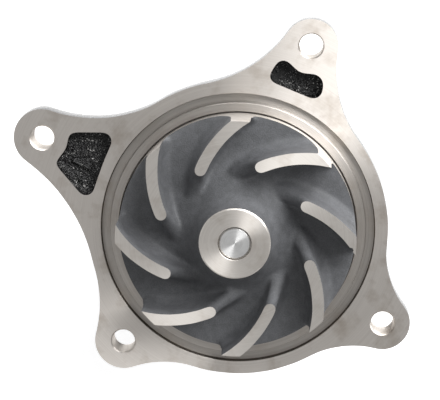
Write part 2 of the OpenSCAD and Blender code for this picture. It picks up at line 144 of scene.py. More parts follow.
class StudioSettings(bpy.types.PropertyGroup):
    """The studio's light and lens."""

    key: FloatProperty(name="Key", description="Power of the large lamp", default=18, unit="POWER")
    strip: FloatProperty(
        name="Strip", description="Power of the low strip lamp behind", default=3, unit="POWER"
    )
    surround: FloatProperty(name="Surround", description="Strength of the white surround", default=0.57)
    lens: FloatProperty(name="Lens", description="Focal length in millimetres", default=143.2)
    tilt: angle_setting("Tilt", "How far the camera leans up from the shaft's line", 11.624)
    turn: angle_setting("Turn", "How far the camera stands to the right of the shaft's line", 2.922)
    distance: length_setting("Distance", "Camera to the middle of the view", 743.75)


# ---------------------------------------------------------------- shapes, in millimetres


def polar(radius, angle):
    return Vector((radius * math.cos(angle), radius * math.sin(angle)))


def arc(centre, radius, start, end, count):
    return [centre + polar(radius, start + (end - start) * i / count) for i in range(count + 1)]


def heading(vector):
    return math.atan2(vector.y, vector.x)


def wrapped(angle, low):
    """An angle brought into the turn that begins at low."""
    return low + (angle - low) % math.tau


def lathe(rows, steps=192, at=(0, 0, 0)):
    """A closed solid turned about a line along Z through at, from rows of radius and height."""
    bm = bmesh.new()
    origin = Vector(at)
    rings = []
    for radius, height in rows:
        if radius < 1e-6:
            rings.append([bm.verts.new((origin + Vector((0, 0, height))) * MM)])
            continue
        ring = []
        for i in range(steps):
            p = polar(radius, math.tau * i / steps)
            ring.append(bm.verts.new((origin + Vector((p.x, p.y, height))) * MM))
        rings.append(ring)
    for one, two in zip(rings, rings[1:] + rings[:1]):
        if len(one) == 1 and len(two) == 1:
            continue
        for i in range(steps):
            j = (i + 1) % steps
            if len(one) == 1:
                corners = (one[0], two[i], two[j])
            elif len(two) == 1:
                corners = (one[i], two[0], one[j])
            else:
                corners = (one[i], two[i], two[j], one[j])
            bm.faces.new(corners)
    bmesh.ops.recalc_face_normals(bm, faces=bm.faces)
    return bm


def loft(levels, matrix=None):
    """A closed solid through flat outlines of as many points each, from pairs of outline and height."""
    bm = bmesh.new()
    rings = [[bm.verts.new(Vector((p.x, p.y, z)) * MM) for p in outline] for outline, z in levels]
    bm.faces.new(rings[0])
    bm.faces.new(rings[-1])
    count = len(rings[0])
    for one, two in zip(rings, rings[1:]):
        for i in range(count):
            j = (i + 1) % count
            bm.faces.new((one[i], one[j], two[j], two[i]))
    if matrix:
        bm.transform(matrix)
    bmesh.ops.recalc_face_normals(bm, faces=bm.faces)
    return bm


def object_from(name, shapes, materials=()):
    """One mesh object that holds all the given closed shapes."""
    mesh = bpy.data.meshes.new(name)
    whole = bmesh.new()
    for shape in shapes:
        part = bpy.data.meshes.new("part")
        shape.to_mesh(part)
        shape.free()
        whole.from_mesh(part)
        bpy.data.meshes.remove(part)
    whole.to_mesh(mesh)
    whole.free()
    obj = bpy.data.objects.new(name, mesh)
    bpy.context.scene.collection.objects.link(obj)
    for material in materials:
        mesh.materials.append(material)
    return obj


def settle(obj):
    """Replaces an object's mesh by what its modifiers make of it, and clears them."""
    graph = bpy.context.evaluated_depsgraph_get()
    mesh = bpy.data.meshes.new_from_object(obj.evaluated_get(graph), depsgraph=graph)
    obj.modifiers.clear()
    old = obj.data
    obj.data = mesh
    bpy.data.meshes.remove(old)
    mesh.name = obj.name


def discard(obj):
    mesh = obj.data
    bpy.data.objects.remove(obj)
    bpy.data.meshes.remove(mesh)


def machine(obj, tools, operation="DIFFERENCE"):
    """Cuts an object with each tool in turn; a cut face keeps the tool's material."""
    for tool in tools:
        modifier = obj.modifiers.new("Machining", "BOOLEAN")
        modifier.operation = operation
        modifier.solver = "EXACT"
        modifier.material_mode = "TRANSFER"
        modifier.object = tool
        settle(obj)
        discard(tool)
    if len(obj.data.polygons) < 12:
        raise RuntimeError(f"machining left nothing of {obj.name}")


def cast(obj, grid, softening):
    """Turns overlapping solids into one casting with soft corners and fillets."""
    remesh = obj.modifiers.new("Casting", "REMESH")
    remesh.mode = "VOXEL"
    remesh.voxel_size = grid
    soften = obj.modifiers.new("Softening", "SMOOTH")
    soften.factor = 0.5
    soften.iterations = softening
    settle(obj)
    if not obj.data.polygons:
        raise RuntimeError(f"{obj.name} has no casting")


def refine(obj, chosen):
    """Halves the edges of the faces that chosen accepts, so that they can carry finer grains."""
    bm = bmesh.new()
    bm.from_mesh(obj.data)
    edges = {edge for face in bm.faces if chosen(face.calc_center_median()) for edge in face.edges}
    bmesh.ops.subdivide_edges(bm, edges=list(edges), cuts=1, use_grid_fill=True)
    bm.to_mesh(obj.data)
    bm.free()
    obj.data.update()


def roughen(obj, height_at):
    """Moves each point along its normal by the height that height_at gives for it."""
    mesh = obj.data
    normals = [Vector(n.vector) for n in mesh.vertex_normals]
    for vertex, normal in zip(mesh.vertices, normals):
        vertex.co += normal * height_at(vertex.co)
    mesh.update()


def dress(obj):
    """Smooth shading that keeps every edge sharper than CREASE crisp."""
    mesh = obj.data
    mesh.polygons.foreach_set("use_smooth", [True] * len(mesh.polygons))
    mesh.set_sharp_from_angle(angle=CREASE)
    mesh.update()


# ---------------------------------------------------------------- finishes


def add(tree, kind, sockets=None, **settings):
    """Adds a node with its settings; sockets maps an input to a value or to the output that feeds it."""
    node = tree.nodes.new(kind)
    for name, value in settings.items():
        setattr(node, name, value)
    for key, value in (sockets or {}).items():
        if isinstance(value, bpy.types.NodeSocket):
            tree.links.new(value, node.inputs[key])
        else:
            node.inputs[key].default_value = value
    return node


def rgba(colour):
    return (colour[0], colour[1], colour[2], 1.0)


def new_finish(name):
    """An empty material, its node tree and the object coordinates that its patterns read."""
    material = bpy.data.materials.new(name)
    material.use_nodes = True
    tree = material.node_tree
    tree.nodes.clear()
    place = add(tree, "ShaderNodeTexCoord").outputs["Object"]
    return material, tree, place


def complete(tree, shader):
    add(tree, "ShaderNodeOutputMaterial", {"Surface": shader.outputs["BSDF"]})


def turned_metal(name, bright, dull, stain, roughness, feed, arcs, stained, anisotropy, relief=1.0):
    """Metal cut by a tool that goes round the shaft's line: fine rings every feed millimetres, broken into
    arcs, which stretch each highlight into a bow across the rings."""
    material, tree, place = new_finish(name)
    split = add(tree, "ShaderNodeSeparateXYZ", {0: place})
    flat = add(tree, "ShaderNodeCombineXYZ", {0: split.outputs[0], 1: split.outputs[1]})
    radius = add(tree, "ShaderNodeVectorMath", {0: flat.outputs[0]}, operation="LENGTH")
    angle = add(tree, "ShaderNodeMath", {0: split.outputs[1], 1: split.outputs[0]}, operation="ARCTAN2")
    # the rings: distance from the line and height, in tool passes
    per_pass = 1 / (feed * MM)
    passes = add(tree, "ShaderNodeMath", {0: radius.outputs["Value"], 1: per_pass}, operation="MULTIPLY")
    rise = add(tree, "ShaderNodeMath", {0: split.outputs[2], 1: per_pass}, operation="MULTIPLY")
    slow_turn = add(tree, "ShaderNodeMath", {0: angle.outputs[0], 1: 0.35}, operation="MULTIPLY")
    ring_place = add(
        tree, "ShaderNodeCombineXYZ", {0: passes.outputs[0], 1: slow_turn.outputs[0], 2: rise.outputs[0]}
    )
    rings = add(tree, "ShaderNodeTexNoise", {"Vector": ring_place.outputs[0], "Scale": 1.0, "Detail": 2.0})
    # the arcs: streaks a few millimetres wide that run part of the way round
    wide = add(tree, "ShaderNodeMath", {0: radius.outputs["Value"], 1: 1 / (arcs * MM)}, operation="MULTIPLY")
    part_turn = add(tree, "ShaderNodeMath", {0: angle.outputs[0], 1: 2.4}, operation="MULTIPLY")
    arc_place = add(
        tree, "ShaderNodeCombineXYZ", {0: wide.outputs[0], 1: part_turn.outputs[0], 2: split.outputs[2]}
    )
    streaks = add(tree, "ShaderNodeTexNoise", {"Vector": arc_place.outputs[0], "Scale": 1.0, "Detail": 3.0})
    both = add(
        tree,
        "ShaderNodeMix",
        {"Factor": 0.22, "A": rings.outputs["Fac"], "B": streaks.outputs["Fac"]},
        data_type="FLOAT",
    )
    sharp = add(
        tree, "ShaderNodeMapRange", {"Value": both.outputs["Result"], "From Min": 0.15, "From Max": 0.85}
    )
    shade = add(
        tree,
        "ShaderNodeMix",
        {"Factor": sharp.outputs["Result"], "A": rgba(dull), "B": rgba(bright)},
        data_type="RGBA",
    )
    # tarnish in soft patches about 12 mm across, with finer specks inside
    patches = add(
        tree, "ShaderNodeTexNoise", {"Vector": place, "Scale": 85.0, "Detail": 4.0, "Roughness": 0.6}
    )
    patch = add(
        tree,
        "ShaderNodeMapRange",
        {"Value": patches.outputs["Fac"], "From Min": 0.5, "From Max": 0.74, "To Max": stained},
    )
    colour = add(
        tree,
        "ShaderNodeMix",
        {"Factor": patch.outputs["Result"], "A": shade.outputs["Result"], "B": rgba(stain)},
        data_type="RGBA",
    )
    gloss = add(
        tree,
        "ShaderNodeMapRange",
        {"Value": both.outputs["Result"], "To Min": roughness + 0.09, "To Max": roughness - 0.07},
    )
    # the stretch of a highlight runs across the rings: the face's normal crossed with the way round
    way_round = add(
        tree, "ShaderNodeVectorMath", {0: (0.0, 0.0, 1.0), 1: flat.outputs[0]}, operation="CROSS_PRODUCT"
    )
    face = add(tree, "ShaderNodeNewGeometry")
    across = add(
        tree,
        "ShaderNodeVectorMath",
        {0: face.outputs["Normal"], 1: way_round.outputs[0]},
        operation="CROSS_PRODUCT",
    )
    tangent = add(tree, "ShaderNodeVectorMath", {0: across.outputs[0]}, operation="NORMALIZE")
    bump = add(
        tree,
        "ShaderNodeBump",
        {"Height": both.outputs["Result"], "Strength": 0.22 * relief, "Distance": 0.05 * MM},
    )
    shader = add(
        tree,
        "ShaderNodeBsdfPrincipled",
        {
            "Base Color": colour.outputs["Result"],
            "Metallic": 1.0,
            "Roughness": gloss.outputs["Result"],
            "Anisotropic": anisotropy,
            "Tangent": tangent.outputs[0],
            "Normal": bump.outputs["Normal"],
        },
    )
    complete(tree, shader)
    return material


def coated_casting(name, base, thin, roughness, grain, relief, metallic, coat, lumpy=0.45, wear_and_glint=(0.4, 0.66)):
    """A sand casting under a coat: grains grain millimetres across, softened by the coat, under slower lumps
    whose share of the height is lumpy; the colour goes from base to thin between the two heights in
    wear_and_glint, which stands for a thinner coat and, where thin is light, for painted glints on the grain
    tips."""
    material, tree, place = new_finish(name)
    sand = add(tree, "ShaderNodeTexNoise", {"Vector": place, "Scale": 1 / (grain * MM), "Detail": 3.0})
    lumps = add(tree, "ShaderNodeTexNoise", {"Vector": place, "Scale": 1 / (7 * grain * MM), "Detail": 4.0})
    height = add(
        tree,
        "ShaderNodeMix",
        {"Factor": lumpy, "A": sand.outputs["Fac"], "B": lumps.outputs["Fac"]},
        data_type="FLOAT",
    )
    grains = add(
        tree, "ShaderNodeMapRange", {"Value": height.outputs["Result"], "From Min": 0.36, "From Max": 0.64}
    )
    # the thin colour on the highest grains: a thinner coat, and painted glints where the thin colour is light
    wear_and_glint_mask = add(
        tree,
        "ShaderNodeMapRange",
        {"Value": height.outputs["Result"], "From Min": wear_and_glint[0], "From Max": wear_and_glint[1]},
    )
    colour = add(
        tree,
        "ShaderNodeMix",
        {"Factor": wear_and_glint_mask.outputs["Result"], "A": rgba(base), "B": rgba(thin)},
        data_type="RGBA",
    )
    gloss = add(
        tree,
        "ShaderNodeMapRange",
        {"Value": lumps.outputs["Fac"], "To Min": roughness - 0.08, "To Max": roughness + 0.1},
    )
    bump = add(
        tree,
        "ShaderNodeBump",
        {"Height": grains.outputs["Result"], "Strength": relief, "Distance": 0.45 * grain * MM},
    )
    shader = add(
        tree,
        "ShaderNodeBsdfPrincipled",
        {
            "Base Color": colour.outputs["Result"],
            "Metallic": metallic,
            "Roughness": gloss.outputs["Result"],
            "Coat Weight": coat,
            "Coat Roughness": 0.18,
            "Normal": bump.outputs["Normal"],
        },
    )
    complete(tree, shader)
    return material


def plain_solid(name, base, second, grain, roughness, metallic=0.0, relief=0.2, glow=0.0):
    """A moulded, pressed or sintered part: two close shades in grains grain millimetres across."""
    material, tree, place = new_finish(name)
    fine = add(tree, "ShaderNodeTexNoise", {"Vector": place, "Scale": 1 / (grain * MM), "Detail": 4.0})
    mottle = add(
        tree, "ShaderNodeMapRange", {"Value": fine.outputs["Fac"], "From Min": 0.35, "From Max": 0.65}
    )
    colour = add(
        tree,
        "ShaderNodeMix",
        {"Factor": mottle.outputs["Result"], "A": rgba(base), "B": rgba(second)},
        data_type="RGBA",
    )
    gloss = add(
        tree,
        "ShaderNodeMapRange",
        {"Value": fine.outputs["Fac"], "To Min": roughness - 0.06, "To Max": roughness + 0.08},
    )
    bump = add(
        tree,
        "ShaderNodeBump",
        {"Height": fine.outputs["Fac"], "Strength": relief, "Distance": 0.2 * grain * MM},
    )
    shader = add(
        tree,
        "ShaderNodeBsdfPrincipled",
        {
            "Base Color": colour.outputs["Result"],
            "Metallic": metallic,
            "Roughness": gloss.outputs["Result"],
            "Emission Color": rgba(base),
            "Emission Strength": glow,
            "Normal": bump.outputs["Normal"],
        },
    )
    complete(tree, shader)
    return material


FINISHES = {}


def make_finishes(finish):
    """Builds every finish of the pump and files it under its name."""
    FINISHES["Faced grey iron"] = turned_metal(
        # cut dry with a wide tool: matt, with brown tarnish and arcs that catch the light in a bow
        "Faced grey iron",
        finish.iron_bright,
        finish.iron_dull,
        finish.iron_stain,
        roughness=0.46,
        feed=0.5,
        arcs=2.6,
        stained=0.55,
        anisotropy=0.8,
    )
    FINISHES["Turned impeller iron"] = turned_metal(
        # the same iron with a finer feed, so a little brighter and cleaner
        "Turned impeller iron",
        linear("dfdad4"),
        linear("ccc7c1"),
        finish.iron_stain,
        roughness=0.42,
        feed=0.4,
        arcs=1.6,
        stained=0.4,
        anisotropy=0.8,
    )
    FINISHES["Worn turned iron"] = turned_metal(
        # the land that the cover seals on, the groove's floor and the vanes' ends: darker than the open face
        "Worn turned iron",
        linear("c9c4be"),
        linear("aaa5a0"),
        finish.iron_stain,
        roughness=0.42,
        feed=0.5,
        arcs=1.2,
        stained=0.35,
        anisotropy=0.88,
    )
    FINISHES["Groove wall with painted shade"] = turned_metal(
        # the seal groove's outer wall, darkened as painted shade in the groove: a dark brown line round the
        # face
        "Groove wall with painted shade",
        linear("6c665f"),
        linear("4e4943"),
        finish.iron_stain,
        roughness=0.4,
        feed=0.5,
        arcs=2.6,
        stained=0.3,
        anisotropy=0.3,
    )
    FINISHES["Black gloss paint on sand casting"] = coated_casting(
        # dipped before machining: wet black with small white glints on the sand's grains
        "Black gloss paint on sand casting",
        finish.paint,
        linear("17171a"),
        roughness=0.26,
        grain=1.0,
        relief=0.45,
        metallic=0.0,
        coat=0.5,
    )
    FINISHES["Black paint on burnt-on sand with painted glints"] = coated_casting(
        # where the sand fused to the iron: coarse black grains, with light grey specks on their tips as
        # painted glints
        "Black paint on burnt-on sand with painted glints",
        linear("080808"),
        # light grey for the grain tips: painted glints
        linear("c2c0bd"),
        roughness=0.2,
        grain=0.7,
        relief=1.0,
        metallic=0.0,
        coat=0.0,
        lumpy=0.2,
        wear_and_glint=(0.6, 0.7),
    )
    FINISHES["Dark coat on shell casting"] = coated_casting(
        # a thin satin coat on a smoother casting: grey sheen, almost black where it turns from the light
        "Dark coat on shell casting",
        finish.impeller,
        finish.impeller_worn,
        roughness=0.68,
        grain=0.5,
        relief=0.3,
        metallic=0.12,
        coat=0.0,
    )
    FINISHES["Ground bearing steel"] = turned_metal(
        # ground: bright and even, with hair-fine rings
        "Ground bearing steel",
        finish.steel,
        linear("cfcfcf"),
        linear("8d8a86"),
        roughness=0.36,
        feed=0.3,
        arcs=1.2,
        stained=0.2,
        anisotropy=0.92,
        relief=0.5,
    )
    FINISHES["Turned hub steel"] = turned_metal(
        # turned and oiled: darker than ground steel, with a coarser feed
        "Turned hub steel",
        finish.steel_dull,
        linear("7f7d7a"),
        linear("5f5648"),
        roughness=0.34,
        feed=0.45,
        arcs=2.0,
        stained=0.35,
        anisotropy=0.55,
        relief=1.3,
    )
    FINISHES["Phosphated ring steel"] = plain_solid(
        # dark grey conversion coat: dull, faintly speckled
        "Phosphated ring steel",
        linear("3d3e40"),
        linear("55565a"),
        grain=0.4,
        roughness=0.5,
        metallic=0.8,
    )
    FINISHES["Pressed brass"] = plain_solid(
        # drawn sheet: warm and soft, with a faint cloud in the shine
        "Pressed brass",
        finish.brass,
        linear("b08a48"),
        grain=2.2,
        roughness=0.3,
        metallic=1.0,
        relief=0.1,
    )
    FINISHES["Moulded nitrile rubber"] = plain_solid(
        # dull black with a fine mould grain
        "Moulded nitrile rubber",
        finish.rubber,
        linear("2a2a2b"),
        grain=0.35,
        roughness=0.62,
    )
    FINISHES["Sintered carbon"] = plain_solid(
        # lapped carbon: dark with a slight grey polish
        "Sintered carbon",
        linear("2b2c2f"),
        linear("3a3b3e"),
        grain=0.25,
        roughness=0.35,
        metallic=0.2,
        relief=0.1,
    )
    FINISHES["Lapped alumina"] = plain_solid(
        # fired ceramic: off-white, smooth, very slightly uneven
        "Lapped alumina",
        linear("e6e1d4"),
        linear("efebe1"),
        grain=0.6,
        roughness=0.28,
        relief=0.05,
    )
    FINISHES["Moulded nylon"] = plain_solid(
        # glass-filled nylon: tan, with fibres that dull the surface
        "Moulded nylon",
        linear("8a7646"),
        linear("9c8856"),
        grain=0.5,
        roughness=0.5,
    )
    FINISHES["Matt studio card"] = plain_solid(
        # pale card, lit a little from within so that it stays white under the pump
        "Matt studio card",
        finish.floor,
        linear("fbfbfb"),
        grain=3.0,
        roughness=0.85,
        relief=0.05,
        glow=0.5,
    )
    FINISHES["Drawn spring wire"] = plain_solid(
        # hard-drawn wire: bright with faint drawing haze
        "Drawn spring wire",
        linear("b9b6ae"),
        linear("a09d96"),
        grain=0.7,
        roughness=0.32,
        metallic=1.0,
        relief=0.1,
    )


class PUMP_OT_finishes(bpy.types.Operator):
    """Make every finish and put it on the parts whose shape stays as the frame has it"""

    bl_idname = "pump.finishes"
    bl_label = "Finishes"

    def execute(self, context):
        make_finishes(context.scene.pump_finish)
        kept = {
            "Ground bearing steel": ["shaft", "bearing_outer_ring", "bearing_balls", "bearing_rollers"],
            "Phosphated ring steel": ["bearing_circlip"],
            "Pressed brass": ["seal_cup", "seal_ferrule", "seal_band"],
            "Moulded nitrile rubber": [
                "seal_bellows",
                "bearing_seal_inner",
                "bearing_seal_outer",
                "slinger",
                "mating_boot",
            ],
            "Sintered carbon": ["carbon_ring"],
            "Lapped alumina": ["mating_ring"],
            "Moulded nylon": ["ball_cage", "roller_cage"],
            "Drawn spring wire": ["seal_spring"],
        }
        for finish, names in kept.items():
            for name in names:
                node = frame["nodes"].get(name)
                if node is None:
                    raise RuntimeError(f"the frame has no {name}")
                if not node.material_slots:
                    raise RuntimeError(f"{name} has no material slot")
                for place in node.material_slots:
                    place.material = FINISHES[finish]
        return {"FINISHED"}


# ---------------------------------------------------------------- housing

RIM = 64.1
FLANGE = 9.0
BOLT_HOLE = 5.0
EAR_THICKNESS = 12.0
# the bosses stand inside the ears' edges, and rise in a slight taper
BOSS_INSET = 2.6
# the sealing groove, the impeller's recess, and the seal's well and seat
GROOVE_INNER = 54.3
GROOVE_OUTER = 58.3
GROOVE_DEPTH = 2.5
RECESS = 50.7
RECESS_DEPTH = 5.0
WELL = 18.25
WELL_DEPTH = 17.0
SEAL_BORE = 15.5
# the bearing's bore, from its step to the snout's end, and the circlip's groove in it
BEARING_BORE = 19.05
BEARING_STEP = 25.0
CIRCLIP_BORE = 20.45
CIRCLIP_TOP = 65.0
CIRCLIP_WIDTH = 1.6
SNOUT = 27.05
SNOUT_END = 69.0
# the drain hole and its boss
WEEP = 3.0
WEEP_DEPTH = 21.0
WEEP_FACE = 36.05
# metal left on a cast face for the tool, and how much the softening draws a casting in
ALLOWANCE = 3.0
DRAW = 0.03


class Ear:
    """A bolt ear: its hole's centre, its radius and the radii that blend it into the rim on each side."""

    def __init__(self, mount, radius, before, after):
        self.centre = Vector(MOUNTS[mount]["pos_m"][:2]) / MM
        self.radius = radius
        self.before = before
        self.after = after
        self.angle = heading(self.centre)
        self.reach = self.centre.length


# anticlockwise from the lower left
EARS = [
    Ear("bolt_hole_lower_left", 12.6, 56.0, 40.0),
    Ear("bolt_hole_lower_right", 12.0, 38.5, 38.0),
    Ear("bolt_hole_upper_right", 11.6, 50.0, 54.0),
    Ear("bolt_hole_upper_left", 12.6, 55.0, 72.0),
]


def blend_centre(ear, blend, side):
    """Centre of the circle that touches the rim and the ear from outside."""
    from_axis = RIM + blend
    from_ear = ear.radius + blend
    along = (from_axis**2 - from_ear**2 + ear.reach**2) / (2 * ear.reach)
    off = math.sqrt(from_axis**2 - along**2)
    out = ear.centre.normalized()
    return along * out + side * off * Vector((-out.y, out.x))


def flange_outline(grow=0.0):
    """The flange's edge, anticlockwise, moved outward by grow."""
    points = []
    for ear, after in zip(EARS, EARS[1:] + EARS[:1]):
        one = blend_centre(ear, ear.before, -1)
        two = blend_centre(ear, ear.after, 1)
        start = heading(-one)
        end = wrapped(heading(ear.centre - one), start - math.pi)
        points += arc(one, ear.before - grow, start, end, 14)
        start = heading(one - ear.centre)
        end = wrapped(heading(two - ear.centre), start)
        points += arc(ear.centre, ear.radius + grow, start, end, 40)[1:-1]
        start = heading(ear.centre - two)
        end = wrapped(heading(-two), start - math.pi)
        points += arc(two, ear.after - grow, start, end, 14)
        start = heading(two)
        end = wrapped(heading(blend_centre(after, after.before, -1)), start - math.pi / 2)
        count = max(2, math.ceil(abs(end - start) / math.radians(3)))
        points += arc(Vector((0, 0)), RIM + grow, start, end, count)[1:-1]
    return points


def rounded(rows):
    """A polygon with round corners, each row being its place outward and anticlockwise, and its radius."""
    points = []
    count = len(rows)
    for i in range(count):
        p, before, after = (Vector(rows[k][:2]) for k in (i, i - 1, (i + 1) % count))
        radius = rows[i][2]
        u = (before - p).normalized()
        v = (after - p).normalized()
        half = math.acos(max(-1, min(1, u.dot(v)))) / 2
        centre = p + (u + v).normalized() * radius / math.sin(half)
        start = heading(p + u * radius / math.tan(half) - centre)
        end = wrapped(heading(p + v * radius / math.tan(half) - centre), start - math.pi)
        points += arc(centre, radius, start, end, 8)
    return points


# the pockets' corners: outward from the rim along the ear, anticlockwise across it, and the corner's radius
LEFT_POCKET = [(17.9, -7, 3.2), (16, -0.5, 9), (17.9, 7.8, 2.6)]
LEFT_POCKET += [(-2.4, 17.3, 3.6), (-0.6, 0, 60), (-0.2, -15.5, 3.6)]
RIGHT_POCKET = [(-0.4, -12.4, 3.6), (10.8, -9.8, 4.5), (7.7, 0.1, 7), (11.8, 10, 3.6), (0, 12.1, 3)]
POCKETS = [(EARS[3], LEFT_POCKET), (EARS[2], RIGHT_POCKET)]
POCKET_DEPTH = 5.5


def pocket_shape(ear, rows):
    turn = Matrix.Rotation(ear.angle, 2)
    return [turn @ (Vector((RIM, 0)) + p) for p in rounded(rows)]


def towards_drain(tool):
    """Lays a solid that was turned about the shaft's line down along -Y, at the drain hole's depth."""
    tool.transform(Matrix.Translation((0, 0, -WEEP_DEPTH * MM)) @ Matrix.Rotation(math.pi / 2, 4, "X"))
    return tool


def casting_back():
    """The solids behind the flange: web and collar, snout, ear bosses, ribs and the weep boss."""
    root = -1
    end = -SNOUT_END - ALLOWANCE
    web = lathe(
        [(0, root), (56.3, root), (56.3, -11), (53.3, -13), (32.05, -13), (30.05, -18), (SNOUT, -30)]
        + [(SNOUT - 0.3, end), (0, end)],
        steps=120,
    )
    drain = lathe([(0, 0), (7.2, 0), (7, WEEP_FACE + 0.2), (0, WEEP_FACE + 0.2)], steps=48)
    shapes = [web, towards_drain(drain)]
    for ear in EARS:
        boss = ear.radius - BOSS_INSET
        foot = -EAR_THICKNESS - 1.4
        profile = [(0, root), (boss + 0.9, root), (boss + 0.3, foot), (0, foot)]
        shapes.append(lathe(profile, steps=64, at=(ear.centre.x, ear.centre.y, 0)))
        rib_end = ear.reach - (boss + BOLT_HOLE) / 2
        side = [(SNOUT - 3, -8), (SNOUT - 3, -60), (SNOUT + 3, -60), (ear.reach - boss, -11), (rib_end, -11)]
        upright = Matrix.Rotation(ear.angle, 4, "Z") @ Matrix.Rotation(math.pi / 2, 4, "X")
        rib = [Vector(p) for p in side + [(rib_end, -8)]]
        shapes.append(loft([(rib, -3.2), (rib, 3.2)], upright))
    return shapes


def encloses(outline, point):
    """Whether a closed outline goes round a point."""
    inside = False
    for a, b in zip(outline, outline[1:] + outline[:1]):
        if (a.y > point.y) != (b.y > point.y):
            crossing = a.x + (b.x - a.x) * (point.y - a.y) / (b.y - a.y)
            inside = inside != (point.x < crossing)
    return inside


def pocket_zone(ear, rows):
    """A pocket's outline, widened enough to take in its walls."""
    shape = pocket_shape(ear, rows)
    middle = sum(shape, Vector((0, 0))) / len(shape)
    return [middle + (p - middle) * 1.12 for p in shape]


POCKET_ZONES = [pocket_zone(ear, rows) for ear, rows in POCKETS]


def pocket_at(point):
    """How deep in a pocket a point lies, from 0 to 1 on its floor, and how high the ridge stands there."""
    place = Vector((point.x, point.y)) / MM
    for (ear, rows), zone in zip(POCKETS, POCKET_ZONES):
        if point.z > -FLANGE * 0.9 * MM and encloses(zone, place):
            local = Matrix.Rotation(-ear.angle, 2) @ place
            out, across = local.x - RIM, local.y
            depth = max(0.0, min(1.0, -point.z / MM / POCKET_DEPTH))
            ridge = 0.0
            if rows is LEFT_POCKET and 3 < out < 12:
                ridge = math.exp(-(((across - 4.6) / 0.8) ** 2))
            return depth, depth * ridge
    return 0.0, 0.0


def bores():
    """The tool that faces the flange and turns every bore on the shaft's line, down to the snout's end."""
    edge = 0.15
    groove = [(GROOVE_OUTER + edge, 0), (GROOVE_OUTER, -edge), (GROOVE_OUTER, -GROOVE_DEPTH + 0.3)]
    groove += [(GROOVE_OUTER - 0.3, -GROOVE_DEPTH), (GROOVE_INNER + 0.3, -GROOVE_DEPTH)]
    groove += [(GROOVE_INNER, -GROOVE_DEPTH + 0.3), (GROOVE_INNER, -0.25), (GROOVE_INNER - 0.25, 0)]
    recess = [(RECESS + edge, 0), (RECESS, -edge), (RECESS, -RECESS_DEPTH)]
    well = [(WELL + 0.5, -RECESS_DEPTH), (WELL, -RECESS_DEPTH - 0.5), (WELL, -WELL_DEPTH)]
    seal = [(SEAL_BORE, -WELL_DEPTH), (SEAL_BORE, -BEARING_STEP)]
    bearing = [(BEARING_BORE, -BEARING_STEP), (BEARING_BORE, -CIRCLIP_TOP), (CIRCLIP_BORE, -CIRCLIP_TOP)]
    bearing += [(CIRCLIP_BORE, -CIRCLIP_TOP - CIRCLIP_WIDTH), (BEARING_BORE, -CIRCLIP_TOP - CIRCLIP_WIDTH)]
    bearing += [(BEARING_BORE, -SNOUT_END + 0.5), (BEARING_BORE + 0.5, -SNOUT_END)]
    above = [(0, 8), (130, 8), (130, 0)]
    below = [(30, -SNOUT_END), (30, -SNOUT_END - 15), (0, -SNOUT_END - 15)]
    tool = lathe(above + groove + recess + well + seal + bearing + below, steps=256)
    for face in tool.faces:
        middle = face.calc_center_median() / MM
        radius = Vector((middle.x, middle.y)).length
        # the groove's outer wall and its bottom corner take the darker finish: painted shade in the groove
        if abs(radius - GROOVE_OUTER) < 0.4 and middle.z < -0.3:
            face.material_index = 1
        elif RECESS - 0.7 < radius < GROOVE_OUTER:
            face.material_index = 2
    finishes = ["Faced grey iron", "Groove wall with painted shade", "Worn turned iron"]
    return object_from("bores", [tool], [FINISHES[name] for name in finishes])


def bolt_hole(ear):
    """The tool that drills an ear, breaks the hole's edges and faces the boss behind it."""
    back = -EAR_THICKNESS
    rows = [(0, 3), (BOLT_HOLE + 3.5, 3), (BOLT_HOLE, -0.5), (BOLT_HOLE, back + 0.4), (BOLT_HOLE + 0.4, back)]
    rows += [(ear.radius, back), (ear.radius, back - 5), (0, back - 5)]
    tool = lathe(rows, steps=96, at=(ear.centre.x, ear.centre.y, 0))
    return object_from("bolt hole", [tool], [FINISHES["Faced grey iron"]])


def weep_hole():
    """The tool that drills the drain hole, from the shaft's line out through its boss."""
    tool = towards_drain(lathe([(0, 0), (WEEP, 0), (WEEP, 84), (0, 84)], steps=48))
    return object_from("weep", [tool], [FINISHES["Faced grey iron"]])


def in_pocket(point):
    return pocket_at(point)[0] > 0.02


class PUMP_OT_housing(bpy.types.Operator):
    """Cast the housing with its soft corners and painted skin, then face and bore it"""

    bl_idname = "pump.housing"
    bl_label = "Housing"

    def execute(self, context):
        casting = context.scene.pump_casting
        paint = FINISHES["Black gloss paint on sand casting"]
        # the pockets' finish, whose light specks are painted glints
        sand = FINISHES["Black paint on burnt-on sand with painted glints"]
        # the edge leans in towards the face, as it left the mould
        edge, face_edge = flange_outline(DRAW), flange_outline(DRAW - 0.7)
        flange = object_from("flange", [loft([(edge, -FLANGE - 0.1), (edge, -2.6), (face_edge, ALLOWANCE)])])
        pockets = []
        for ear, rows in POCKETS:
            shape = pocket_shape(ear, rows)
            pockets.append(object_from("pocket", [loft([(shape, -POCKET_DEPTH), (shape, ALLOWANCE + 1)])]))
        machine(flange, pockets)
        flange_shape = bmesh.new()
        flange_shape.from_mesh(flange.data)
        discard(flange)
        housing = object_from("pump_housing", [flange_shape] + casting_back(), [paint, sand])
        cast(housing, casting.grid, casting.softening)
        refine(housing, in_pocket)

        def height_at(point):
            slow = noise.noise(point / (9 * MM)) * casting.waviness
            depth, ridge = pocket_at(point)
            lumps = 0.6 * noise.noise(point / (2.8 * MM)) + noise.noise(point / (1.5 * MM))
            grains = noise.noise(point / (casting.grain * 0.75)) * casting.grain * 0.3
            return slow - 0.05 * MM + depth * (lumps * casting.pocket_roughness + grains) + ridge * 0.9 * MM

        roughen(housing, height_at)
        for face in housing.data.polygons:
            face.material_index = int(in_pocket(face.center))
        machine(housing, [bores()] + [bolt_hole(ear) for ear in EARS] + [weep_hole()])
        dress(housing)
        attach(housing, "housing")
        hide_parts("housing")
        return {"FINISHED"}


# ---------------------------------------------------------------- impeller

